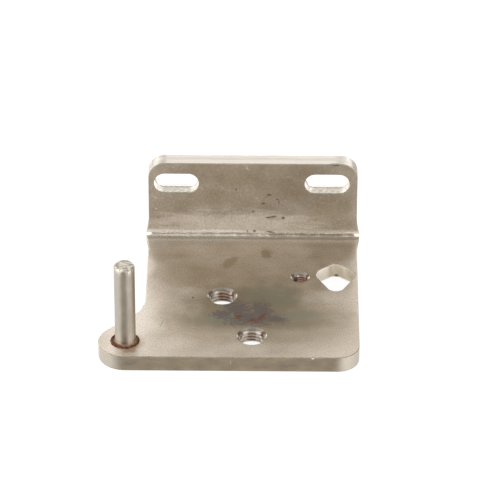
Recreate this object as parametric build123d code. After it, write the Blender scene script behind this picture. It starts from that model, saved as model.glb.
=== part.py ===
from build123d import *
import math
import os

# Fridge door hinge, in millimetres.
# A heavy steel strap is blanked, pierced, tapped and folded once into an L. Its flange bolts to the
# cabinet through two slots, and its plate carries the door on a pin staked into a lug at one side.
# The origin is the hinge axis at the plate's top face: +Z runs up the pin, +Y goes back to the
# flange, and +X runs along the plate, away from the pin.

# The folded strap
sheet_thickness = 5.0
plate_width = 62.4
plate_depth = 62.7  # from the plate's front edge to the flange's front face
flange_height = 25.7  # above the plate's top face
bend_inner_radius = 1.2
flange_corner_radius = 5.0
plate_corner_radius = 6.4
edge_break_radius = 0.25  # deburred rim of the blank

# Metal squeezed out sideways at each end of the fold
bend_bulge = 0.85
bend_bulge_crown = 1.8  # how far from the inner corner it turns from a crown to a flare
bend_bulge_reach = 7.5  # how far from the inner corner it fades out

# The lug that carries the pin
lug_radius = 7.9
pin_to_plate_side = 5.1
lug_flank_angle = 45.0  # degrees from the plate's front edge
lug_root_radius = 13.0

# Cabinet screw slots in the flange
slot_length = 13.4
slot_width = 6.5
slot_left_wall = 1.65  # from the left slot's end to the flange's side
slot_right_wall = 2.35
slot_top_wall = 3.75  # from a slot to the flange's top edge
slot_rim_chamfer = 0.2  # on both faces

# Tapped holes in the plate, bored to the tapping size and countersunk on both faces
large_tapping_diameter = 7.0
large_countersink = 0.9
front_hole_from_pin = 36.4
front_hole_behind_pin = 2.7
rear_hole_from_pin = 27.6
rear_hole_behind_pin = 23.0
small_tapping_diameter = 4.2
small_countersink = 0.75
small_hole_to_kite = 4.7
small_hole_to_flange = 21.8

# Kite-shaped hole beside the plate's right edge; its corners are given before rounding
kite_width = 13.5
kite_rear_length = 5.5  # from its widest line to its rear corner
kite_front_length = 12.1  # from its widest line to its front corner
kite_side_wall = 0.7
kite_to_flange = 13.9
kite_rear_radius = 2.2
kite_front_radius = 2.6
kite_side_radius = 3.4
kite_rim_chamfer = 0.2  # on the upper face
kite_die_break = 0.4  # how far the lower rim tore wider than the punch
kite_die_break_depth = 1.3

# The hinge pin
pin_diameter = 6.0
pin_height = 26.4  # above the plate's top face
pin_end_chamfer = 0.55
pin_seat_step = 0.5  # how much thicker it is in the lug, so that it can't be pulled up and out
pin_seat_countersink = 0.85  # on both faces of the lug; the staked end fills the lower one

# Places worked out from the sizes above
front_y = -lug_radius
flange_y = front_y + plate_depth
back_y = flange_y + sheet_thickness
left_x = pin_to_plate_side
right_x = left_x + plate_width
pin_seat_diameter = pin_diameter + pin_seat_step


def lug_outline():
    """The pin's round lug, with the flank that runs tangent from it to the plate's left side."""
    angle = math.radians(lug_flank_angle)
    tangent_x = -lug_radius * math.sin(angle)
    tangent_y = lug_radius * math.cos(angle)
    root_y = tangent_y + (left_x - tangent_x) * math.tan(angle)
    web = make_face(
        Polyline(
            (0, front_y),
            (left_x, front_y),
            (left_x, root_y),
            (tangent_x, tangent_y),
            close=True,
        )
    )
    return Circle(lug_radius) + web, (left_x, root_y)


def blank_outline():
    """The flat outline seen from above, as far back as the flange's rear face."""
    lug, root = lug_outline()
    depth = back_y - front_y
    plate = Pos(left_x + plate_width / 2, front_y + depth / 2) * Rectangle(plate_width, depth)
    outline = plate + lug
    root_corner = outline.vertices().sort_by_distance(root)[0]
    outline = fillet(root_corner, lug_root_radius)
    front_corner = outline.vertices().sort_by_distance((right_x, front_y))[0]
    return fillet(front_corner, plate_corner_radius)


def folded_section():
    """The L section across the fold, in the YZ plane, with both bend radii."""
    inner_corner = (flange_y, 0)
    outer_corner = (back_y, -sheet_thickness)
    section = make_face(
        Polyline(
            (front_y, 0),
            inner_corner,
            (flange_y, flange_height),
            (back_y, flange_height),
            outer_corner,
            (front_y, -sheet_thickness),
            close=True,
        )
    )
    inner = section.vertices().sort_by_distance(inner_corner)[0]
    section = fillet(inner, bend_inner_radius)
    outer = section.vertices().sort_by_distance(outer_corner)[0]
    return fillet(outer, bend_inner_radius + sheet_thickness)


def folded_strip(from_x, to_x):
    """The L section drawn out along X."""
    return extrude(Plane.YZ.offset(from_x) * folded_section(), amount=to_x - from_x)


def bend_bulge_solid(side_x, outward):
    """The bulge at one end of the fold: a low flared button about the inner corner, cut to the L.

    Its crown and its flare meet on the straight line from its top to its rim, so that they run
    smoothly into each other, and the flare dies out smoothly in the side.
    """
    root = -2 * bend_bulge
    rim = (bend_bulge_reach, 0)
    join = (bend_bulge_crown, bend_bulge * (1 - bend_bulge_crown / bend_bulge_reach))
    crown = TangentArc((0, bend_bulge), join, tangent=(1, 0))
    flare = TangentArc(rim, join, tangent=(-1, 0))
    foot = Polyline(rim, (bend_bulge_reach, root), (0, root), (0, bend_bulge))
    button = revolve(make_face(crown + flare + foot), Axis.Y)
    place = Plane(origin=(side_x, flange_y, 0), x_dir=(0, 0, 1), z_dir=(0, outward, 0))
    strip = folded_strip(side_x - 2 * bend_bulge, side_x + 2 * bend_bulge)
    return place * button & strip


def kite_outline():
    """The kite-shaped hole's rounded outline, with its right side kept off the plate's edge."""
    half = kite_width / 2
    corners = {
        (half, 0): kite_side_radius,
        (0, kite_rear_length): kite_rear_radius,
        (-half, 0): kite_side_radius,
        (0, -kite_front_length): kite_front_radius,
    }
    kite = make_face(Polyline(*corners, close=True))
    for corner, radius in corners.items():
        kite = fillet(kite.vertices().sort_by_distance(corner)[0], radius)
    centre_x = right_x - kite_side_wall - kite.bounding_box().max.X
    centre_y = flange_y - kite_to_flange - kite_rear_length
    return Pos(centre_x, centre_y) * kite


def through_bore(x, y, diameter, countersink):
    """A bore through the plate with a 45 degree countersink on each face."""
    radius = diameter / 2
    mouth = radius + countersink
    half = make_face(
        Polyline(
            (0, 0),
            (mouth, 0),
            (radius, -countersink),
            (radius, countersink - sheet_thickness),
            (mouth, -sheet_thickness),
            (0, -sheet_thickness),
            close=True,
        )
    )
    return Pos(x, y) * revolve(Plane.XZ * half, Axis.Z)


def kite_cut():
    """The punched kite: straight through, then torn wider towards the underside."""
    outline = kite_outline()
    straight = extrude(Pos(0, 0, -sheet_thickness) * outline, amount=sheet_thickness)
    flare = math.degrees(math.atan2(kite_die_break, kite_die_break_depth))
    torn = extrude(
        Pos(0, 0, kite_die_break_depth - sheet_thickness) * outline,
        amount=-kite_die_break_depth,
        taper=-flare,
    )
    return straight + torn


def slot_centres():
    """The middle of each slot, in the flange's rear face."""
    centre_z = flange_height - slot_top_wall - slot_width / 2
    left_centre = left_x + slot_left_wall + slot_length / 2
    right_centre = right_x - slot_right_wall - slot_length / 2
    return [Vector(centre_x, back_y, centre_z) for centre_x in (left_centre, right_centre)]


def slot_cut(centre):
    """One long slot for a cabinet screw, right through the flange."""
    place = Plane(origin=centre, x_dir=(1, 0, 0), z_dir=(0, -1, 0))
    return extrude(place * SlotOverall(slot_length, slot_width), amount=sheet_thickness)


def edges_within(solid, low, high):
    """The edges whose middle lies in the box from low to high, with a hair to spare."""
    spare = 0.01
    found = []
    for edge in solid.edges():
        middle = edge @ 0.5
        if all(a - spare <= m <= b + spare for a, m, b in zip(low, middle, high)):
            found.append(edge)
    return found


def slot_rims(bracket, centre):
    """The front and rear rim of one slot."""
    reach = Vector(slot_length / 2, 0, slot_width / 2)
    rims = []
    for back in (0, sheet_thickness):
        middle = centre - Vector(0, back, 0)
        rims += edges_within(bracket, middle - reach, middle + reach)
    return rims


def hinge_bracket():
    """The folded bracket, one piece of steel."""
    bracket = extrude(Pos(0, 0, -sheet_thickness) * blank_outline(), amount=sheet_thickness + flange_height)
    bracket = bracket & folded_strip(-lug_radius, right_x)
    top_corners = bracket.edges().filter_by(Axis.Y).group_by(Axis.Z)[-1]
    bracket = fillet(top_corners, flange_corner_radius)
    bracket += bend_bulge_solid(left_x, -1)
    bracket += bend_bulge_solid(right_x, 1)
    # Each face's rim is one smooth run, so rounding its front edge rounds all of it.
    front_edges = bracket.edges().filter_by(Axis.X).group_by(Axis.Y)[0]
    bracket = fillet(front_edges, edge_break_radius)
    kite_x = kite_outline().bounding_box().min.X
    bracket -= through_bore(0, 0, pin_seat_diameter, pin_seat_countersink)
    bracket -= through_bore(
        front_hole_from_pin, front_hole_behind_pin, large_tapping_diameter, large_countersink
    )
    bracket -= through_bore(
        rear_hole_from_pin, rear_hole_behind_pin, large_tapping_diameter, large_countersink
    )
    bracket -= through_bore(
        kite_x - small_hole_to_kite,
        flange_y - small_hole_to_flange,
        small_tapping_diameter,
        small_countersink,
    )
    bracket -= kite_cut()
    kite = kite_outline().bounding_box()
    bracket = chamfer(edges_within(bracket, kite.min, kite.max), kite_rim_chamfer)
    for centre in slot_centres():
        bracket -= slot_cut(centre)
        bracket = chamfer(slot_rims(bracket, centre), slot_rim_chamfer)
    return bracket


def hinge_pin():
    """The round pin: staked below, thicker where it is pressed in the lug, chamfered at the top."""
    radius = pin_diameter / 2
    seat_radius = pin_seat_diameter / 2
    half = make_face(
        Polyline(
            (0, -sheet_thickness),
            (seat_radius + pin_seat_countersink, -sheet_thickness),
            (seat_radius, pin_seat_countersink - sheet_thickness),
            (seat_radius, 0),
            (radius, 0),
            (radius, pin_height - pin_end_chamfer),
            (radius - pin_end_chamfer, pin_height),
            (0, pin_height),
            close=True,
        )
    )
    return revolve(Plane.XZ * half, Axis.Z)


os.makedirs("parts", exist_ok=True)
export_step(hinge_bracket(), "parts/hinge_bracket.step")
export_step(hinge_pin(), "parts/hinge_pin.step")
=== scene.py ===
import math

import bmesh
import bpy
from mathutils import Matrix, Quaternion, Vector, noise


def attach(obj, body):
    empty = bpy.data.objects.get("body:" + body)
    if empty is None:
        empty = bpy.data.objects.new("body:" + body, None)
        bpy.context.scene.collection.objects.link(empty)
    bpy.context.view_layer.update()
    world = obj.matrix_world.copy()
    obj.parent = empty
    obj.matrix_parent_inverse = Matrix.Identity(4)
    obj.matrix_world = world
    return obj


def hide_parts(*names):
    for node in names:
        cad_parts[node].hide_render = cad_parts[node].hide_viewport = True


# A fridge door hinge on a studio table. Sizes are in millimetres, and the scene is in metres. The
# origin is the hinge axis at the plate's top face: +Z runs up the pin, +Y goes back to the flange,
# and +X runs along the plate.
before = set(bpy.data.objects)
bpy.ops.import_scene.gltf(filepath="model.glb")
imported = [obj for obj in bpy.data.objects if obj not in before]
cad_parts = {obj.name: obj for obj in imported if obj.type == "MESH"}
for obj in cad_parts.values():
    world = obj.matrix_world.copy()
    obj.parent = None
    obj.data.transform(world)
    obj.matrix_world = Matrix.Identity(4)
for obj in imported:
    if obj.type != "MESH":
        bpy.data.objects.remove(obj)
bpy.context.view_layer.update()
MM = 0.001


# The bracket is 5 mm stainless plate, blanked and pierced in a press, tapped, and folded once.
# Its mesh starts as the solid's own skin, and gets what the solid leaves plain: the thread grooves
# in the three tapped holes, and the two creases that the folding blade pressed beside the bend.
sheet = 5.0
front_y, flange_y = -7.9, 54.8
flange_top = 25.7
plate_left, plate_right = 5.1, 67.5
bend_radius = 1.2
tapped_holes = [  # centre, tapping diameter, thread diameter, pitch, countersunk mouth
    ((36.4, 2.7), 7.0, 8.0, 1.0, 8.8),
    ((27.6, 23.0), 7.0, 8.0, 1.0, 8.8),
    ((50.517, 33.0), 4.2, 5.0, 0.8, 5.7),
]
slot_ends = [(6.75, 20.15), (51.75, 65.15)]  # left and right
kite_low, kite_high = (54.7, 25.5), (67.2, 40.8)  # a box round the kite-shaped hole


def mesh_object(name, points, faces):
    """An object from points in millimetres."""
    mesh = bpy.data.meshes.new(name)
    mesh.from_pydata([tuple(c * MM for c in point) for point in points], [], faces)
    mesh.update()
    piece = bpy.data.objects.new(name, mesh)
    bpy.context.collection.objects.link(piece)
    return piece


def tube(rings):
    """Faces that join rings of equally many points into a closed bar, with both ends capped."""
    count = len(rings[0])
    points = [point for ring in rings for point in ring]
    faces = [tuple(reversed(range(count)))]
    for start in range(0, len(points) - count, count):
        for side in range(count):
            after = (side + 1) % count
            faces.append((start + side, start + after, start + count + after, start + count + side))
    faces.append(tuple(range(len(points) - count, len(points))))
    return points, faces


def outward(piece):
    """Turns all of a closed piece's faces outward."""
    body = bmesh.new()
    body.from_mesh(piece.data)
    bmesh.ops.remove_doubles(body, verts=body.verts, dist=0.0005 * MM)
    bmesh.ops.recalc_face_normals(body, faces=body.faces)
    body.to_mesh(piece.data)
    body.free()
    return piece


def thread_groove(centre, tapping, thread, pitch):
    """The helical groove of a metric thread, run a pitch past both faces of the plate."""
    steps = 40
    flat = pitch / 8
    foot = tapping / 2 - 0.15
    crest = thread / 2
    spread = flat / 2 + (crest - foot) * math.tan(math.radians(30))
    profile = [(foot, -spread), (crest, -flat / 2), (crest, flat / 2), (foot, spread)]
    rings = []
    for step in range(int(steps * (sheet + 2 * pitch) / pitch)):
        angle = 2 * math.pi * step / steps
        rise = pitch * step / steps - sheet - pitch
        along, across = math.cos(angle), math.sin(angle)
        rings.append([(centre[0] + r * along, centre[1] + r * across, rise + z) for r, z in profile])
    return outward(mesh_object("groove", *tube(rings)))


def bend_crease(turn, half_width, depth, seed):
    """A shallow V pressed along the bend, where the blade's flank ended. turn is its place round the
    inner radius, in degrees from the plate."""
    angle = math.radians(turn)
    surface = Vector((0, math.sin(angle), -math.cos(angle)))
    slope = Vector((0, math.cos(angle), math.sin(angle)))
    centre = Vector((0, flange_y - bend_radius, bend_radius))
    past_end, clear, steps = 1.2, 0.1, 100
    length = plate_right - plate_left + 2 * past_end
    rings = []
    for step in range(steps + 1):
        x = plate_left - past_end + length * step / steps
        sway = 0.10 * noise.noise(Vector((x / 9, seed, 0)))
        deep = depth * (1 + 0.8 * noise.noise(Vector((x / 4, seed, 5))))
        middle = centre + surface * bend_radius + slope * sway
        profile = [
            middle - slope * half_width * 1.8 - surface * clear,
            middle + surface * deep,
            middle + slope * half_width * 1.8 - surface * clear,
        ]
        rings.append([(x, point.y, point.z) for point in profile])
    return outward(mesh_object("crease", *tube(rings)))


def cut_away(piece, cutter):
    """Cuts the cutter out of the piece, exactly, and removes the cutter."""
    cut = piece.modifiers.new("cut", "BOOLEAN")
    cut.object = cutter
    cut.operation = "DIFFERENCE"
    cut.solver = "EXACT"
    view = bpy.context.evaluated_depsgraph_get()
    piece.data = bpy.data.meshes.new_from_object(piece.evaluated_get(view))
    piece.modifiers.clear()
    bpy.data.objects.remove(cutter)


def skin_of(node, name):
    """A new piece with the shape of a CAD node's mesh, its points welded."""
    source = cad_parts[node].data
    points = [point.co / MM for point in source.vertices]
    return outward(mesh_object(name, points, [tuple(face.vertices) for face in source.polygons]))


bracket = skin_of("hinge_bracket", "bracket")
for centre, tapping, thread, pitch, mouth in tapped_holes:
    cut_away(bracket, thread_groove(centre, tapping, thread, pitch))
cut_away(bracket, bend_crease(38, 0.22, 0.16, 1.0))
cut_away(bracket, bend_crease(86, 0.18, 0.14, 7.0))


def linear(colour):
    """An sRGB hex colour as linear red, green, blue and alpha."""
    parts = [int(colour[i : i + 2], 16) / 255 for i in (1, 3, 5)]
    return tuple(c / 12.92 if c <= 0.04045 else ((c + 0.055) / 1.055) ** 2.4 for c in parts) + (1.0,)


def add(tree, kind, inputs=None, **settings):
    """Adds a node, sets its settings, and sets or links its inputs."""
    node = tree.nodes.new(kind)
    for name, value in settings.items():
        setattr(node, name, value)
    for name, value in (inputs or {}).items():
        if isinstance(value, bpy.types.NodeSocket):
            tree.links.new(value, node.inputs[name])
        else:
            node.inputs[name].default_value = value
    return node


def where(tree, *limits):
    """How far several factors have all come, from 0 to 1. Each limit is a factor with the values at
    which it starts and is full, and what it gives there if not 0 and 1. A factor alone counts as is."""
    found = None
    for factor, *marks in limits:
        if marks:
            start, full, *ends = marks
            least, most = ends or (0.0, 1.0)
            span = {"Value": factor, "From Min": start, "From Max": full, "To Min": least, "To Max": most}
            fade = add(tree, "ShaderNodeMapRange", span, interpolation_type="SMOOTHSTEP")
            factor = fade.outputs["Result"]
        if found is not None:
            both = add(tree, "ShaderNodeMath", {0: found, 1: factor}, operation="MULTIPLY")
            factor = both.outputs["Value"]
        found = factor
    return found


def tint(tree, colour, tone, *limits, way="MIX"):
    """Lays a tone, given in hex or as another colour, over a colour as far as the limits say."""
    over = linear(tone) if isinstance(tone, str) else tone
    layer = {"Factor": where(tree, *limits), "A": colour, "B": over}
    return add(tree, "ShaderNodeMix", layer, data_type="RGBA", blend_type=way).outputs["Result"]


def paint(ramp, tones):
    """Sets a ramp's stops to a list of (position, hex colour)."""
    stops = ramp.color_ramp.elements
    while len(stops) < len(tones):
        stops.new(0.5)
    for stop, (position, tone) in zip(stops, tones):
        stop.position = position
        stop.color = linear(tone)
    return ramp.outputs["Color"]


def mottle(tree, place, size, detail=2.0, roughness=0.5, stretch=(1, 1, 1)):
    """Noise whose lumps are about this many millimetres across, stretched along each axis."""
    scale = [1 / (size * s) for s in stretch]
    local = add(tree, "ShaderNodeMapping", {"Vector": place, "Scale": scale}).outputs["Vector"]
    look = {"Vector": local, "Scale": 1.0, "Detail": detail, "Roughness": roughness}
    return add(tree, "ShaderNodeTexNoise", look).outputs["Fac"]


def spot(tree, place, centre, reach, turn=(0, 0, 0)):
    """1 at a place in millimetres, falling to 0 at its reach along each axis. turn is in degrees."""
    angles = [math.radians(a) for a in turn]
    frame_of_spot = {"Vector": place, "Location": centre, "Scale": reach, "Rotation": angles}
    local = add(tree, "ShaderNodeMapping", frame_of_spot, vector_type="TEXTURE").outputs["Vector"]
    return add(tree, "ShaderNodeTexGradient", {"Vector": local}, gradient_type="SPHERICAL").outputs["Fac"]


def frayed(tree, factor, clouds, strength):
    """A factor with its edge frayed by noise, whose middle is 0.5."""
    swing = add(tree, "ShaderNodeMath", {0: clouds, 1: 0.5}, operation="SUBTRACT").outputs["Value"]
    ragged = {0: swing, 1: strength, 2: factor}
    return add(tree, "ShaderNodeMath", ragged, operation="MULTIPLY_ADD").outputs["Value"]


def strongest(tree, factors):
    """The highest of several factors at each place."""
    top, *others = factors
    for factor in others:
        top = add(tree, "ShaderNodeMath", {0: top, 1: factor}, operation="MAXIMUM").outputs["Value"]
    return top


def off_line(tree, factor, middle):
    """How far a factor is from a value, on either side."""
    beside = add(tree, "ShaderNodeMath", {0: factor, 1: middle}, operation="SUBTRACT").outputs["Value"]
    return add(tree, "ShaderNodeMath", {0: beside}, operation="ABSOLUTE").outputs["Value"]


def stains(tree, place, patches, fray, strength):
    """The strongest of several ragged spots, each given by its middle, reach and turn."""
    found = []
    for centre, reach, turn in patches:
        round_spot = spot(tree, place, centre, reach, turn)
        ragged = frayed(tree, round_spot, fray, strength)
        found.append(where(tree, (ragged,), (round_spot, 0.0, 0.15)))
    return strongest(tree, found)


def on_plate(x, y, half_x, half_y, turn=0, depth=2):
    """The middle, reach and turn of a spot on the plate's top."""
    return (x, y, 0), (half_x, half_y, depth), (0, 0, turn)


def on_flange(x, z, half_x, half_z, turn=0, depth=2):
    """The middle, reach and turn of a spot on the flange's front."""
    return (x, flange_y, z), (half_x, depth, half_z), (0, -turn, 0)


def new_material(name):
    """An empty node material, and its own coordinates in millimetres."""
    material = bpy.data.materials.new(name)
    material.use_nodes = True
    tree = material.node_tree
    tree.nodes.clear()
    own = add(tree, "ShaderNodeTexCoord").outputs["Object"]
    place = add(tree, "ShaderNodeMapping", {"Vector": own, "Scale": (1 / MM, 1 / MM, 1 / MM)})
    return material, tree, place.outputs["Vector"]


def finish_material(tree, colour, roughness, bump, **more):
    """The surface itself: one Principled shader, a bare metal unless more says otherwise."""
    inputs = {"Base Color": colour, "Metallic": 1.0, "Roughness": roughness, "Normal": bump}
    shader = add(tree, "ShaderNodeBsdfPrincipled", {**inputs, **more})
    add(tree, "ShaderNodeOutputMaterial", {"Surface": shader.outputs["BSDF"]})


def rolled_stainless():
    """Stainless plate, hot rolled and pickled: a dull, faintly grained grey with warm clouds in it,
    a rubbed band above the bend, a tarnish with brown flecks round a purple-grey painted reflection,
    painted light and shade on the plate, flange and bend, and the marks of use."""
    material, tree, place = new_material("rolled_pickled_stainless")
    axes = add(tree, "ShaderNodeSeparateXYZ", {"Vector": place}).outputs
    along, back, up = axes["X"], axes["Y"], axes["Z"]
    clouds = mottle(tree, place, 9, detail=4, roughness=0.6)
    ragged = mottle(tree, place, 2.0, detail=6, roughness=0.75)
    colour = paint(
        add(tree, "ShaderNodeValToRGB", {"Fac": clouds}),
        [(0.30, "#8f806c"), (0.44, "#948671"), (0.58, "#998c79"), (0.74, "#9f9281")],
    )
    # Patches in the skin: brown ones, a painted sheen of light over the lug and the plate's left, ones
    # rubbed faintly shiny, dim ones, and two blots.
    broad = [
        on_plate(18, 34, 11, 9),
        on_plate(31, 33, 12, 10),
        on_plate(17, 31, 12, 5),
        on_flange(60, 11, 9, 6),
        on_flange(47, 19, 17, 8),
        on_flange(25, 14, 11, 4),
        on_flange(31, 21, 9, 6),
        on_flange(50, 22, 13, 5),
    ]
    brown = stains(tree, place, broad, clouds, 1.1)
    colour = tint(tree, colour, "#887860", (brown, 0.1, 0.6, 0, 0.55))
    # Painted light: the lug and the plate's left are painted lighter, as the light from the left front
    # falls there.
    shiny = stains(tree, place, [on_plate(2, 14, 13, 32), on_plate(5, 38, 4, 9)], clouds, 0.4)
    colour = tint(tree, colour, "#b3a796", (shiny, 0.1, 0.7, 0, 0.7))
    faint = [
        on_plate(42, 43, 11, 7),
        on_plate(34, 48, 36, 6),
        on_plate(19, 24, 7, 5),
        on_plate(57, 23, 9, 5),
        on_plate(37, -3, 12, 4),
        on_plate(15, -1, 11, 5),
        on_plate(67.6, 28, 3.2, 36),
        on_flange(67.6, 9, 2.6, 18),
    ]
    light = stains(tree, place, faint, clouds, 0.4)
    colour = tint(tree, colour, "#b3a796", (light, 0.1, 0.7, 0, 0.3))
    dim = [
        on_plate(23, 8.2, 12, 5.5),
        on_plate(51, 6.2, 22, 6),
        on_plate(47.5, 2.2, 12, 5),
        on_plate(42.5, 31.5, 7, 4),
        on_plate(56.5, 28.5, 6, 3.5),
    ]
    dark = stains(tree, place, dim, clouds, 0.4)
    colour = tint(tree, colour, "#7d7059", (dark, 0.05, 0.6, 0, 0.5))
    blots = [on_plate(29.5, 40.5, 2.6, 6.0, -32), on_plate(40.4, 45.2, 2.6, 4.6)]
    blotted = stains(tree, place, blots, ragged, 1.4)
    colour = tint(tree, colour, "#7c6b4f", (blotted, 0.2, 0.6, 0, 0.7))
    # Where the folding blade slid on the flange, the skin is rubbed bright in long streaks.
    streaks = mottle(tree, place, 2.2, detail=5, roughness=0.65, stretch=(5, 1, 1))
    rubbed = frayed(tree, spot(tree, place, *on_flange(30, 3.6, 38, 7.5, depth=2.5)), streaks, 1.3)
    colour = tint(tree, colour, "#b9ad9a", (rubbed, 0.1, 0.65))

    # Painted shade: the flange is painted a shade darker than the plate, most of all at its upper right.
    colour = tint(tree, colour, "#e5e3e1", (up, 0.2, 1.4), way="MULTIPLY")
    colour = tint(tree, colour, "#f2f2f1", (up, 8, 13), (along, 34, 52), way="MULTIPLY")

    # Painted light: the plate is painted lighter towards its front edge.
    colour = tint(tree, colour, "#b3a796", (back, 3, -6, 0, 0.3))
    # The grain of the pickled skin is some 0.05 mm. It is drawn at 0.4 mm so that it shows.
    grain = mottle(tree, place, 0.4, detail=3, roughness=0.7, stretch=(1, 1.6, 1))
    colour = tint(tree, colour, "#6f624e", (grain, 0.45, 0.75, 0, 0.6))
    colour = tint(tree, colour, "#c5baa9", (grain, 0.45, 0.25, 0, 0.35))

    # Across the bend, in millimetres up the flange (or back along the plate, below nought) from the
    # middle of its arc: a rubbed line on the plate, creases in the arc painted dark as painted shade, and
    # a painted highlight on the line that the blade burnished above it. To the right both creases run
    # together in one broad line of painted shade.
    from_flange = add(tree, "ShaderNodeMath", {0: back, 1: flange_y}, operation="SUBTRACT")
    fold = add(tree, "ShaderNodeMath", {0: up, 1: from_flange.outputs["Value"]}, operation="ADD")
    fold = fold.outputs["Value"]
    nicks = mottle(tree, place, 0.8, detail=4, roughness=0.7, stretch=(2.5, 1, 1))
    wavy = frayed(tree, frayed(tree, fold, streaks, 0.8), nicks, 0.7)
    lowest, width = -5.5, 8.5
    reach = {"Value": wavy, "From Min": lowest, "From Max": lowest + width}
    across = add(tree, "ShaderNodeMapRange", reach).outputs["Result"]
    left_tones = [
        (-5.3, "#91887a"),
        (-3.1, "#9c9283"),
        (-2.1, "#aba292"),  # the rubbed line
        (-1.5, "#948a79"),
        (-0.5, "#887e6e"),
        (0.0, "#7e7568"),
        (0.3, "#7b7264"),
        (0.8, "#574e42"),  # the upper crease
        (1.1, "#7d7466"),
        (1.45, "#c3b8a7"),  # the burnished line
        (1.9, "#bcb0a0"),
        (2.25, "#aba190"),
        (2.6, "#9a9081"),
        (3.0, "#8f8576"),
    ]
    right_tones = [
        (-5.3, "#958b7a"),
        (-3.8, "#a39783"),
        (-2.2, "#b2a896"),  # the rubbed line
        (-1.6, "#9e927e"),
        (-1.1, "#897e6d"),
        (-0.5, "#857966"),
        (0.3, "#5a5040"),
        (0.7, "#4a4236"),  # both creases in one
        (1.05, "#5c5345"),
        (1.4, "#a99d8b"),  # the burnished line
        (1.8, "#a29684"),
        (2.2, "#988d78"),
        (2.6, "#918571"),
        (3.0, "#8e8371"),
    ]
    left, right = (
        paint(
            add(tree, "ShaderNodeValToRGB", {"Fac": across}),
            [((at - lowest) / width, tone) for at, tone in tones],
        )
        for tones in (left_tones, right_tones)
    )
    creases = tint(tree, left, right, (along, 26, 46))
    creases = tint(tree, creases, "#5f5444", (grain, 0.45, 0.72, 0, 0.35))
    creases = tint(tree, creases, "#e4dccb", (grain, 0.45, 0.22, 0, 0.45))
    near_bend = (fold, -6.0, -2.5), (fold, 3.0, 2.0)
    colour = tint(tree, colour, creases, *near_bend, (nicks, 0.36, 0.5, 0.6, 1.0))
    # The metal squeezed out at both ends of the bend carries a painted highlight, where its surface turns
    # up.
    for x, inward in ((plate_left - 0.4, 1), (plate_right + 0.4, -1)):
        burr = spot(tree, place, (x, flange_y - 0.1, 0.9), (1.7, 1.2, 1.0))
        tail = spot(tree, place, (x + inward * 2.2, flange_y, 1.5), (2.6, 0.6, 0.45))
        colour = tint(tree, colour, "#b5ab9a", (strongest(tree, [burr, tail]), 0.05, 0.6))

    # Damp tarnish on the plate: an olive halo and reddish flecks, round a purple-grey heart that is a
    # painted dark reflection.
    edge = mottle(tree, place, 5, detail=5, roughness=0.65)
    halo_spots = [on_plate(36, 17.5, 25, 17), on_plate(39, 11.8, 37, 8.5)]
    halo = where(tree, (stains(tree, place, halo_spots, edge, 0.6), 0.05, 0.60, 0, 0.9))
    colour = tint(tree, colour, "#726650", (halo,))
    olive_spots = [on_plate(43, 24, 13, 9), on_plate(27, 11, 9, 5), on_plate(50, 13, 9, 4)]
    olive = stains(tree, place, olive_spots, edge, 0.7)
    colour = tint(tree, colour, "#6f6c5a", (olive, 0.1, 0.7, 0, 0.7), (halo,))
    heart_spots = [
        on_plate(35.8, 11.8, 12.5, 5.8),
        on_plate(32.0, 16.5, 5.6, 7.0, 25),
        on_plate(39.0, 15.5, 5.0, 7.5, 20),
        on_plate(43.0, 11.4, 6.0, 3.2, -20),
        on_plate(28.0, 13.4, 5.0, 3.2),
    ]
    fine = mottle(tree, place, 1.0, detail=5, roughness=0.75)
    fray = add(tree, "ShaderNodeMix", {"Factor": 0.5, "A": ragged, "B": fine}).outputs["Result"]
    heart = where(tree, (stains(tree, place, heart_spots, fray, 2.6), 0.05, 0.70, 0, 0.85))
    colour = tint(tree, colour, "#584f4a", (heart,))
    fleck_spots = [
        on_plate(32.6, 12.6, 1.8, 3.2),
        on_plate(36.8, 10.6, 2.6, 2.0),
        on_plate(39.2, 12.0, 1.6, 4.2, -28),
    ]
    flecks = stains(tree, place, fleck_spots, fine, 3.2)
    colour = tint(tree, colour, "#5f4032", (flecks, 0.35, 0.6, 0, 0.85))

    # Pits, scuffs and dirt on the flange, and two on the plate.
    pits = [
        on_flange(41.2, 14.8, 1.1, 0.45, depth=1),
        on_flange(43.6, 13.2, 0.8, 0.3, -30, depth=1),
        on_flange(44.1, 12.1, 0.25, 1.0, depth=1),
        on_flange(39.4, 11.7, 0.9, 0.5, 10, depth=1),
        on_flange(36.4, 8.8, 0.6, 0.4, depth=1),
        on_flange(41.0, 6.7, 1.2, 0.45, depth=1),
        on_flange(42.4, 7.0, 1.5, 0.5, 8, depth=1),
        on_flange(45.4, 6.6, 0.8, 0.75, depth=1),
        on_flange(36.8, 1.8, 0.8, 0.6, 40, depth=1),
        on_flange(34.7, 1.8, 0.5, 0.4, 60, depth=1),
        on_flange(41.7, 1.45, 2.0, 0.5, -14, depth=1),
        on_flange(31.3, 16.6, 0.5, 0.4, depth=1),
        on_flange(61.0, 25.4, 2.0, 0.35, 4, depth=1),
        on_plate(19.0, 22.0, 0.5, 0.7, depth=1),
        on_plate(66.0, 35.7, 1.3, 0.6, 20, depth=1),
    ]
    dirt = strongest(tree, [spot(tree, place, *pit) for pit in pits])
    colour = tint(tree, colour, "#453d31", (dirt, 0.05, 0.65, 0, 0.8))
    scratch = frayed(tree, spot(tree, place, *on_plate(10.2, 8.6, 0.45, 3.4, -14, depth=1)), fine, 0.8)
    colour = tint(tree, colour, "#756854", (scratch, 0.2, 0.7, 0, 0.5))
    ticks = [
        on_flange(7.2, 13.5, 0.9, 0.25, -30, depth=1),
        on_flange(7.3, 9.6, 0.5, 0.3, depth=1),
        on_flange(34.6, 24.1, 1.0, 0.2, -45, depth=1),
    ]
    bared = strongest(tree, [spot(tree, place, *tick) for tick in ticks])
    colour = tint(tree, colour, "#c4b9a8", (bared, 0.05, 0.7, 0, 0.5))

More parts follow.
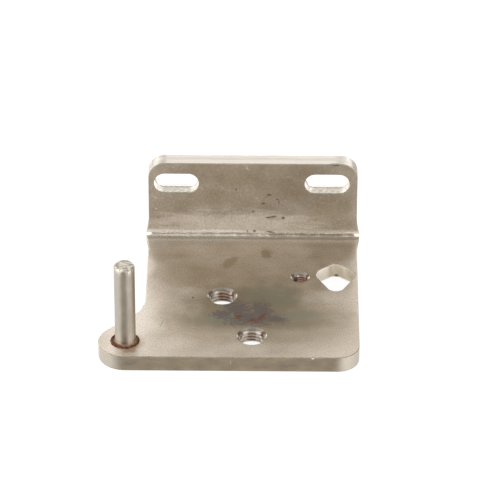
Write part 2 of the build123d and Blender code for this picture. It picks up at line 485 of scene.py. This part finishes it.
    # Rust has crept out from the pin over the plate.
    smudge = frayed(tree, spot(tree, place, (1.4, -5.2, 0), (3.2, 1.7, 1)), ragged, 0.8)
    colour = tint(tree, colour, "#7a6448", (smudge, 0.15, 0.7, 0, 0.6))
    creep = frayed(tree, spot(tree, place, (1.0, -1.0, 0), (7.0, 7.0, 1.5)), ragged, 0.7)
    colour = tint(tree, colour, "#84715a", (creep, 0.28, 0.62, 0, 0.85))

    # The painted dark reflection and the pressed bend are a little duller than the rest.
    dull = where(tree, (clouds, 0.3, 0.7, 0.52, 0.58))
    bend = where(tree, (spot(tree, place, (36, flange_y, 0), (600, 1.7, 1.7)), 0.14, 0.34))
    for duller, share in ((heart, 0.06), (bend, 0.1)):
        more = add(tree, "ShaderNodeMath", {0: duller, 1: share, 2: dull}, operation="MULTIPLY_ADD")
        dull = more.outputs["Value"]
    bump = add(tree, "ShaderNodeBump", {"Height": grain, "Strength": 0.35, "Distance": 0.02 * MM})
    waves = add(
        tree,
        "ShaderNodeBump",
        {"Height": clouds, "Strength": 0.35, "Distance": 0.12 * MM, "Normal": bump.outputs["Normal"]},
    )
    finish_material(tree, colour, dull, waves.outputs["Normal"])
    return material


def sheared_stainless():
    """The press's cut through the plate: a burnished band that the punch wiped smooth, then a torn
    one behind a dark ledge, with fine lines along the cut, and painted light and shade on its corners,
    walls and ends."""
    material, tree, place = new_material("sheared_stainless_edge")
    axes = add(tree, "ShaderNodeSeparateXYZ", {"Vector": place}).outputs
    along, back, up = axes["X"], axes["Y"], axes["Z"]
    inside = add(tree, "ShaderNodeMath", {0: back, 1: flange_y}, operation="SUBTRACT").outputs["Value"]
    # The lines along the cut are some 0.1 mm apart. They are drawn at 0.3 mm so that they show.
    lines = mottle(tree, place, 0.30, detail=2, roughness=0.5, stretch=(30, 1, 1))
    clouds = mottle(tree, place, 4, detail=4, roughness=0.65, stretch=(2, 1, 1))
    colour = paint(
        add(tree, "ShaderNodeValToRGB", {"Fac": clouds}),
        [(0.34, "#6d6257"), (0.43, "#776b59"), (0.55, "#7f735e"), (0.7, "#887c67")],
    )
    half_way = flange_y + sheet / 2
    # Painted light: the right front corner, the lug's side and the flange's top edge are painted lighter,
    # and the two ends of the top edge darker.
    for tone, centre, reach in [
        ("#aba08f", (66.0, -4.6, -2.5), (7.5, 7, 12)),
        ("#a09584", (-6, -2, -2.5), (9, 9, 12)),
        ("#958a7a", (36, half_way, 27), (500, 9, 8)),
        ("#847a6a", (64.5, half_way, 26), (4.5, 9, 4.0)),
        ("#7c7262", (7.5, half_way, 26), (4.0, 9, 3.8)),
    ]:
        colour = tint(tree, colour, tone, (spot(tree, place, centre, reach), 0.05, 0.45))
    # Along the flange's top the ledge where the steel tore off shows as a faint darker line.
    tear = (off_line(tree, inside, 2.9), 1.1, 0.3)
    colour = tint(tree, colour, "#887d6d", tear, (lines, 0.34, 0.56, 0.3, 1.0), (up, 24.4, 25.2))
    # Painted light: the kite's walls are painted brighter than the blank's own edge, just outside them at
    # the right, and their bottom rim near white as a painted reflection of the white table.
    for tone, centre, reach in [
        ("#cdc2b1", (56.0, 33, -2.5), (9, 12, 12)),
        ("#bfb39f", (66.0, 34, -2.5), (7.4, 12, 12)),
        ("#b9ab97", (61.4, 40, -2.5), (3.0, 3, 12)),
        ("#a99c86", (67.6, 36.6, -0.5), (5.0, 6, 5.0)),
        ("#f0e8da", (61, 35, -5.3), (30, 12, 1.1)),
    ]:
        rubbed = (spot(tree, place, centre, reach), 0.05, 0.45)
        colour = tint(tree, colour, tone, rubbed, (along, plate_right - 0.1, plate_right - 0.25))
    # The slots' walls are painted lighter as painted light, with scrapes from their screws, up to the
    # ledge where the steel tore off.
    from_middle = off_line(tree, along, (plate_left + plate_right) / 2)
    half_width = (plate_right - plate_left) / 2
    in_slot = where(tree, (up, 13, 14), (up, 24, 23), (from_middle, half_width - 0.4, half_width - 1.0))
    scrapes = mottle(tree, place, 0.7, detail=4, roughness=0.6, stretch=(1.6, 1, 1))
    scraped = paint(
        add(tree, "ShaderNodeValToRGB", {"Fac": scrapes}),
        [(0.36, "#776e5c"), (0.5, "#857b69"), (0.66, "#9e9480")],
    )
    colour = tint(tree, colour, scraped, (in_slot,))
    # Painted highlights at the slots' ends, near white at the left ends.
    for ends in slot_ends:
        for end, tone in zip(ends, ("#ece4d6", "#b5aa98")):
            worn = spot(tree, place, (end, half_way, 19.5), (2.8, 9, 4.2))
            colour = tint(tree, colour, tone, (worn, 0.05, 0.5), (in_slot,))
    ledge = 3.2  # how far in from the flange's front
    # Behind the ledge the torn band is painted lighter, a painted reflection of the white table below.
    colour = tint(tree, colour, "#a79c8c", (in_slot,), (inside, ledge, ledge + 0.2))
    colour = tint(tree, colour, "#6f6554", (lines, 0.52, 0.75, 0, 0.35))
    shadow = (off_line(tree, inside, ledge), 0.45, 0.15, 0, 0.9)
    broken = (scrapes, 0.36, 0.56, 0.35, 1.0)
    colour = tint(tree, colour, "#54483a", (in_slot,), shadow, broken, (up, 18.0, 16.4))
    dents = [
        ((61.4, 40.4, -4.3), (0.9, 3, 0.8), (0, 0, 0)),
        ((60.5, flange_y + 0.2, flange_top), (2.4, 0.7, 0.7), (0, 0, 0)),
    ]
    colour = tint(tree, colour, "#403529", (stains(tree, place, dents, clouds, 0.3), 0.1, 0.6, 0, 0.8))
    fleck = spot(tree, place, (54.0, front_y, -0.1), (0.6, 0.8, 0.6))
    colour = tint(tree, colour, "#f0e9dd", (fleck, 0.1, 0.6))
    nick = spot(tree, place, (30.4, front_y, -1.9), (0.3, 0.7, 1.3), (0, 6, 0))
    colour = tint(tree, colour, "#b4a998", (nick, 0.1, 0.8, 0, 0.35))
    bump = add(tree, "ShaderNodeBump", {"Height": lines, "Strength": 0.35, "Distance": 0.03 * MM})
    finish_material(tree, colour, 0.48, bump.outputs["Normal"])
    return material


def tumbled_stainless():
    """The rims, broken by tumbling in grit: matt, and painted a shade darker than the faces beside them
    as a painted dark reflection.
    """
    material, tree, place = new_material("tumbled_stainless_rim")
    specks = mottle(tree, place, 0.5, detail=3, roughness=0.6)
    speckled = add(tree, "ShaderNodeValToRGB", {"Fac": specks})
    colour = paint(speckled, [(0.35, "#5f574a"), (0.65, "#7a7161")])
    bump = add(tree, "ShaderNodeBump", {"Height": specks, "Strength": 0.4, "Distance": 0.03 * MM})
    finish_material(tree, colour, 0.7, bump.outputs["Normal"])
    return material


def tapped_stainless():
    """Threads, cut bright, under duller countersinks, with brown grease on each hole's far wall, and
    painted highlights and shade in the mouths.
    """
    material, tree, place = new_material("tapped_stainless")
    up = add(tree, "ShaderNodeSeparateXYZ", {"Vector": place}).outputs["Z"]
    smears = mottle(tree, place, 1.2, detail=4, roughness=0.65)
    smeared = add(tree, "ShaderNodeValToRGB", {"Fac": smears})
    colour = paint(smeared, [(0.36, "#a59989"), (0.5, "#cbc1b0"), (0.62, "#e0d8c9")])
    countersink = (-0.95, -0.65)
    colour = tint(tree, colour, "#4b4337", (up, *countersink, 0, 0.9))
    # Each mouth has a painted highlight at both sides, over dirt, and its right wall is painted darker as
    # painted shade.
    for (x, y), _, _, _, mouth in tapped_holes:
        radius = mouth / 2
        for side, strength in ((-1, 0.65), (1, 0.95)):
            rim = (x + side * radius, y + 0.2, -0.3)
            shine = spot(tree, place, rim, (radius * 0.22, radius * 0.24, 1.2))
            colour = tint(tree, colour, "#a89c8a", (shine, 0.1, 0.5))
            wall = (x + side * radius * 0.8, y + radius * 0.42, -1.0)
            dirt = spot(tree, place, wall, (radius * 0.42, radius * 0.36, 2.0))
            colour = tint(tree, colour, "#3f2d22", (dirt, 0.1, 0.5, 0, strength))
        flank = (x + radius * 0.85, y + 0.1, -2.2)
        worn = spot(tree, place, flank, (radius * 0.55, radius * 0.6, 3.5))
        colour = tint(tree, colour, "#6b6050", (worn, 0.1, 0.5, 0, 0.8))
    # The small hole's countersink has painted highlights on its far rim, at its left and at its right, a
    # painted glint sits on a thread, and the lower left of its far wall is painted darker as painted
    # shade.
    for tone, centre, reach in [
        ("#655b4d", (49.9, 35.7, -0.3), (1.6, 0.7, 0.8)),
        ("#e6dccc", (49.9, 35.0, -1.2), (0.7, 0.8, 0.5)),
        ("#bfb3a1", (47.8, 32.9, -0.3), (0.7, 0.7, 0.9)),
        ("#b0a493", (53.2, 33.0, -0.3), (0.6, 0.6, 0.9)),
        ("#625548", (49.1, 34.6, -2.3), (1.5, 1.4, 2.0)),
    ]:
        colour = tint(tree, colour, tone, (spot(tree, place, centre, reach), 0.1, 0.5, 0, 0.9))
    for tone, (x, y), reach, strength in [
        ("#6b4d3e", (36.4, 6.2), 1.6, 0.5),
        ("#80604d", (28.2, 26.5), 2.6, 0.75),
        ("#9a6652", (51.4, 35.2), 1.8, 0.65),
    ]:
        grease = frayed(tree, spot(tree, place, (x, y, -2.0), (reach, reach, 4.0)), smears, 1.2)
        below = (up, *reversed(countersink), 0, strength)
        colour = tint(tree, colour, tone, below, (grease, 0.1, 0.4))
    chatter = mottle(tree, place, 0.2, detail=1, roughness=0.5, stretch=(1, 1, 0.4))
    bump = add(tree, "ShaderNodeBump", {"Height": chatter, "Strength": 0.2, "Distance": 0.02 * MM})
    finish_material(tree, colour, where(tree, (up, *countersink, 0.42, 0.67)), bump.outputs["Normal"])
    return material


ROLLED, SHEARED, TUMBLED, TAPPED = 0, 1, 2, 3
bracket.data.materials.clear()
for material in (rolled_stainless(), sheared_stainless(), tumbled_stainless(), tapped_stainless()):
    bracket.data.materials.append(material)


def finish_at(middle, normal):
    """Which finish a face of the bracket has, from its middle in millimetres and its normal."""
    x, y, z = middle
    hair = 0.02
    flat = 0.9  # a normal's share along an axis, from which a face counts as square to it
    for centre, _, thread, _, mouth in tapped_holes:
        from_axis = math.hypot(x - centre[0], y - centre[1])
        in_thread = from_axis < thread / 2 + hair
        in_mouth = from_axis < mouth / 2 + hair and normal.z < 0.98
        if z < hair and (in_thread or in_mouth):
            return TAPPED
    in_kite = kite_low[0] < x < kite_high[0] and kite_low[1] < y < kite_high[1]
    if in_kite and abs(normal.z) < flat:
        return TUMBLED if z > -0.25 else SHEARED
    in_bend = y > flange_y - 2.5 and z < bend_radius + 0.1 and abs(normal.x) < 0.5
    on_plate_face = abs(normal.z) > flat and z < 0.1
    on_flange_face = abs(normal.y) > flat and z > 0.5 and y > flange_y - 0.3
    if in_bend or on_plate_face or on_flange_face:
        return ROLLED
    # The rounded rims are tumbled, but for those beside the bend, which are drawn with the side.
    clear_of_bend = 8
    if y < flange_y - clear_of_bend:
        leaning = abs(normal.z)
    else:
        leaning = abs(normal.y) if z > clear_of_bend else 0.0
    return TUMBLED if 0.15 < leaning < flat else SHEARED


for face in bracket.data.polygons:
    face.material_index = finish_at(face.center / MM, face.normal)


def shade(piece, angle):
    """Smooth shading, with edges kept crisp above an angle and normals weighted to the flats."""
    piece.data.shade_smooth()
    piece.data.set_sharp_from_angle(angle=math.radians(angle))
    weighted = piece.modifiers.new("flats", "WEIGHTED_NORMAL")
    weighted.keep_sharp = True


shade(bracket, 34)
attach(bracket, "root")
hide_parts("hinge_bracket")


# The pin is drawn stainless bar, cropped to length, pressed into the lug and staked underneath.
# Its end was chamfered on a wheel, and still has the facets of the cropping in its middle.
pin_radius, pin_top, pin_chamfer = 3.0, 26.4, 0.55
seat_radius, seat_flare = 3.25, 0.85
end_radius = pin_radius - pin_chamfer
shoulder = pin_top - pin_chamfer


def lathe(name, profile, steps, lift):
    """A closed turned piece. profile is (radius, height) from the bottom's middle to the top's, and
    lift moves each point, given its radius, angle and height."""
    points, faces = [], []
    for radius, height in profile[1:-1]:
        for step in range(steps):
            angle = 2 * math.pi * step / steps
            r, z = lift(radius, angle, height)
            points.append((r * math.cos(angle), r * math.sin(angle), z))
    rings = len(profile) - 2
    for ring in range(rings - 1):
        for step in range(steps):
            after = (step + 1) % steps
            low, high = ring * steps, (ring + 1) * steps
            faces.append((low + step, low + after, high + after, high + step))
    bottom, top = len(points), len(points) + 1
    points.append((0, 0, lift(0, 0, profile[0][1])[1]))
    points.append((0, 0, lift(0, 0, profile[-1][1])[1]))
    for step in range(steps):
        after = (step + 1) % steps
        faces.append((bottom, after, step))
        faces.append((top, (rings - 1) * steps + step, (rings - 1) * steps + after))
    return mesh_object(name, points, faces)


def pin_surface(radius, angle, height):
    """Facets and nicks on the cropped end, and dents from the staking below."""
    x, y = radius * math.cos(angle), radius * math.sin(angle)
    if height > pin_top - 0.01:
        tilt = min(0.0, -0.035 * (x * 0.8 + y * 0.6) - 0.02)
        step = -0.05 if x * 0.35 - y * 0.94 > 0.55 else 0.0
        rough = 0.05 * noise.noise(Vector((x * 0.9, y * 0.9, 3))) - 0.03
        fade = min(1.0, (end_radius - radius) / 0.35 + 0.35)
        return radius, height + min(0.0, tilt + step + rough) * fade
    if height > shoulder:
        nick = max(0.0, noise.noise(Vector((x * 1.6, y * 1.6, 9))) - 0.25)
        return radius - 0.35 * nick, height - 0.1 * nick
    if height < -sheet + 0.01 and radius < 2.6:
        return radius, height + 0.2 * max(0.0, 1 - abs(radius - 1.3) / 1.1)
    return radius, height


staked_radii = (0.4, 0.8, 1.2, 1.6, 2.0, 2.4, 2.8, 3.2, 3.6, seat_radius + seat_flare)
pin_profile = [(0, -sheet)]
pin_profile += [(r, -sheet) for r in staked_radii]
pin_profile += [(seat_radius, seat_flare - sheet), (seat_radius, -0.02), (pin_radius, 0.0)]
pin_profile += [(pin_radius, z) for z in (0.5, 1.0, 2.0, 8.0, 14.0, 20.0, 24.0)]
pin_profile += [(pin_radius, shoulder - 0.06), (pin_radius - 0.03, shoulder + 0.03)]
pin_profile += [(pin_radius - pin_chamfer * t, shoulder + pin_chamfer * t) for t in (0.35, 0.65, 0.92)]
pin_profile += [(end_radius * t, pin_top) for t in (0.99, 0.94, 0.85, 0.72, 0.58, 0.44, 0.3, 0.15)]
pin_profile += [(0, pin_top)]
pin = lathe("pin", pin_profile, 96, pin_surface)


def drawn_stainless():
    """Bar drawn through a die: smooth, with faint lines along it, and rust at its foot."""
    material, tree, place = new_material("drawn_stainless")
    # The die's lines are some 0.05 mm wide. They are drawn at 0.25 mm so that they show.
    lines = mottle(tree, place, 0.25, detail=2, roughness=0.5, stretch=(1, 1, 40))
    clouds = mottle(tree, place, 3, detail=3, roughness=0.6, stretch=(1, 1, 2))
    clouded = add(tree, "ShaderNodeValToRGB", {"Fac": clouds})
    colour = paint(clouded, [(0.3, "#807767"), (0.5, "#8a8071"), (0.7, "#92887a")])
    axes = add(tree, "ShaderNodeSeparateXYZ", {"Vector": place}).outputs
    ragged = {0: mottle(tree, place, 0.8, detail=3), 1: -1.4, 2: axes["Z"]}
    foot = add(tree, "ShaderNodeMath", ragged, operation="MULTIPLY_ADD").outputs["Value"]
    # Painted light: the pin's right side is painted lighter, and its left side a little lighter than its
    # middle.
    colour = tint(tree, colour, "#c3b7a3", (axes["X"], 2.1, 2.7))
    colour = tint(tree, colour, "#92887a", (axes["X"], -1.2, -2.0))
    colour = tint(tree, colour, "#6b5643", (foot, 1.2, -0.2, 0, 0.8))
    dull = where(tree, (foot, 0.6, -0.4, 0.32, 0.6))
    bump = add(tree, "ShaderNodeBump", {"Height": lines, "Strength": 0.25, "Distance": 0.02 * MM})
    round_it = add(tree, "ShaderNodeTangent", direction_type="RADIAL", axis="Z").outputs["Tangent"]
    drawn = {"Anisotropic": 0.8, "Anisotropic Rotation": 0.25, "Tangent": round_it}
    finish_material(tree, colour, dull, bump.outputs["Normal"], **drawn)
    return material


def cropped_stainless():
    """The pin's end, cropped and dressed on a wheel: matt, with a brown smear or two."""
    material, tree, place = new_material("cropped_stainless")
    smears = mottle(tree, place, 1.6, detail=4, roughness=0.6, stretch=(1.6, 0.7, 1))
    smeared = add(tree, "ShaderNodeValToRGB", {"Fac": smears})
    colour = paint(smeared, [(0.36, "#6b6151"), (0.46, "#8a806f"), (0.6, "#9b9180")])
    for x, y, reach in ((-2.7, -0.8, 2.0), (2.4, -1.4, 1.4)):
        dressed = spot(tree, place, (x, y, 26.0), (reach, reach, 1.5))
        colour = tint(tree, colour, "#6a604f", (dressed, 0.1, 0.6, 0, 0.9))
    bump = add(tree, "ShaderNodeBump", {"Height": smears, "Strength": 0.4, "Distance": 0.05 * MM})
    finish_material(tree, colour, 0.62, bump.outputs["Normal"])
    return material


pin.data.materials.append(drawn_stainless())
pin.data.materials.append(cropped_stainless())
for face in pin.data.polygons:
    face.material_index = int(abs(face.normal.z) > 0.3)
shade(pin, 32)
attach(pin, "root")
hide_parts("hinge_pin")


# Rust has grown out of the gap round the pin and filled the countersink in the lug. It is brittle
# iron oxide, so its ring is lumpy and its rim is ragged.
rust_inner, rust_outer = 2.98, 4.24


def rust_surface(radius, angle, height):
    """Lumps and a ragged rim."""
    x, y = radius * math.cos(angle), radius * math.sin(angle)
    share = (radius - rust_inner) / (rust_outer - rust_inner)
    ragged = 0.16 * noise.noise(Vector((3 * math.cos(angle), 3 * math.sin(angle), 2)))
    rim = ragged - 0.16 * math.cos(angle)
    lump = 0.16 * noise.fractal(Vector((x * 1.8, y * 1.8, 4)), 0.8, 2.0, 4)
    if height > -0.05:
        height += lump * (0.4 + 0.6 * (1 - share))
    return radius + rim * max(0.0, share), height


rust_profile = [(rust_inner, -0.55), (3.5, -0.5), (4.02, -0.12)]
rust_profile += [(4.16, -0.02), (rust_outer, 0.02), (4.16, 0.07), (4.0, 0.1), (3.85, 0.1), (3.7, 0.08)]
rust_profile += [(3.55, 0.08), (3.4, 0.12), (3.27, 0.2), (3.15, 0.3), (3.05, 0.42), (rust_inner, 0.5)]


def ring(name, profile, steps, lift):
    """A closed ring with this section."""
    points, faces = [], []
    count = len(profile)
    for step in range(steps):
        angle = 2 * math.pi * step / steps
        for radius, height in profile:
            r, z = lift(radius, angle, height)
            points.append((r * math.cos(angle), r * math.sin(angle), z))
    for step in range(steps):
        start, after = step * count, (step + 1) % steps * count
        for side in range(count):
            beside = (side + 1) % count
            faces.append((start + side, after + side, after + beside, start + beside))
    return outward(mesh_object(name, points, faces))


rust = ring("rust", rust_profile, 160, rust_surface)


def iron_rust():
    """Flaky iron oxide: matt, dark red-brown with orange flecks and near-black scabs."""
    material, tree, place = new_material("iron_rust")
    scabs = mottle(tree, place, 0.6, detail=5, roughness=0.7)
    scabby = add(tree, "ShaderNodeValToRGB", {"Fac": scabs})
    colour = paint(scabby, [(0.38, "#120a05"), (0.46, "#2b160a"), (0.54, "#48250f"), (0.66, "#733f18")])
    # Close to the pin the ring is grey with dust.
    level = add(tree, "ShaderNodeVectorMath", {0: place, 1: (1, 1, 0)}, operation="MULTIPLY")
    from_pin = add(tree, "ShaderNodeVectorMath", {0: level.outputs["Vector"]}, operation="LENGTH")
    dusty = frayed(tree, where(tree, (from_pin.outputs["Value"], 3.7, 3.1)), scabs, 2.0)
    colour = tint(tree, colour, "#50412e", (dusty, 0.5, 0.9, 0, 0.8))
    bump = add(tree, "ShaderNodeBump", {"Height": scabs, "Strength": 0.8, "Distance": 0.15 * MM})
    oxide = {"Metallic": 0.0, "Specular IOR Level": 0.15}
    finish_material(tree, colour, 0.95, bump.outputs["Normal"], **oxide)
    return material


rust.data.materials.append(iron_rust())
rust.data.shade_smooth()
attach(rust, "root")


# The studio: the hinge lies on a white table in a white room, with soft boxes standing round it just
# above the table, which give the metal its bright rims.
table_half, table_top = 3000, -sheet - 0.03
corners = [(table_half * x, table_half * y, table_top) for x, y in ((-1, -1), (1, -1), (1, 1), (-1, 1))]
floor = mesh_object("floor", corners, [(0, 1, 2, 3)])
floor_material, floor_tree = new_material("white_table")[:2]
paper = add(floor_tree, "ShaderNodeBsdfDiffuse", {"Color": linear("#f4f4f2")}).outputs["BSDF"]
lit = {"Color": (1, 1, 1, 1), "Strength": 1.0}
glow = add(floor_tree, "ShaderNodeEmission", lit).outputs["Emission"]
rays = add(floor_tree, "ShaderNodeLightPath").outputs
seen = strongest(floor_tree, [rays[f"Is {kind} Ray"] for kind in ("Camera", "Glossy", "Transmission")])
white = add(floor_tree, "ShaderNodeMath", {0: seen, 1: 0.93}, operation="MULTIPLY").outputs["Value"]
table = add(floor_tree, "ShaderNodeMixShader", {0: white, 1: paper, 2: glow}).outputs["Shader"]
add(floor_tree, "ShaderNodeOutputMaterial", {"Surface": table})
floor.data.materials.append(floor_material)

lit_middle = Vector((33, 25, 5)) * MM


def soft_light(name, azimuth, elevation, size, power):
    """A soft box that faces the hinge from a direction, in degrees; azimuth 0 is behind it."""
    lamp = bpy.data.lights.new(name, "AREA")
    lamp.shape = "RECTANGLE"
    lamp.size, lamp.size_y = size
    lamp.energy = power
    lamp.color = (0.92, 1.01, 1.19)
    box = bpy.data.objects.new(name, lamp)
    turn, rise = math.radians(azimuth), math.radians(elevation)
    away = Vector((math.sin(turn) * math.cos(rise), math.cos(turn) * math.cos(rise), math.sin(rise)))
    box.location = lit_middle + away * 1.2
    box.rotation_euler = away.to_track_quat("Z", "Y").to_euler()
    bpy.context.collection.objects.link(box)


soft_light("back_box", 0, 12, (1.6, 0.5), 26)
soft_light("left_box", -100, 17, (2.3, 0.75), 84)
soft_light("right_box", 126, 15, (1.5, 0.65), 44)

world = bpy.data.worlds.new("studio")
bpy.context.scene.world = world
world.use_nodes = True
world.node_tree.nodes["Background"].inputs["Color"].default_value = (1, 1, 1, 1)
world.node_tree.nodes["Background"].inputs["Strength"].default_value = 1.0


# The camera looks down at the hinge from the front with a long lens, turned as in the photograph.
camera_data = bpy.data.cameras.new("camera")
camera_data.lens = 258.07
camera_data.sensor_width = 36.0
camera_data.clip_end = 20.0
camera = bpy.data.objects.new("camera", camera_data)
camera_place = Vector((40.5476, -843.206, 598.4998)) * MM
aim = Vector((35.5148, 52.3067, -3.4054)) * MM
camera_roll = 0.223
camera.location = camera_place
level_view = (camera_place - aim).to_track_quat("Z", "Y")
rolled_view = level_view @ Quaternion((0, 0, 1), math.radians(camera_roll))
camera.rotation_euler = rolled_view.to_euler()
bpy.context.collection.objects.link(camera)
bpy.context.scene.camera = camera
bpy.context.scene.view_settings.view_transform = "Standard"
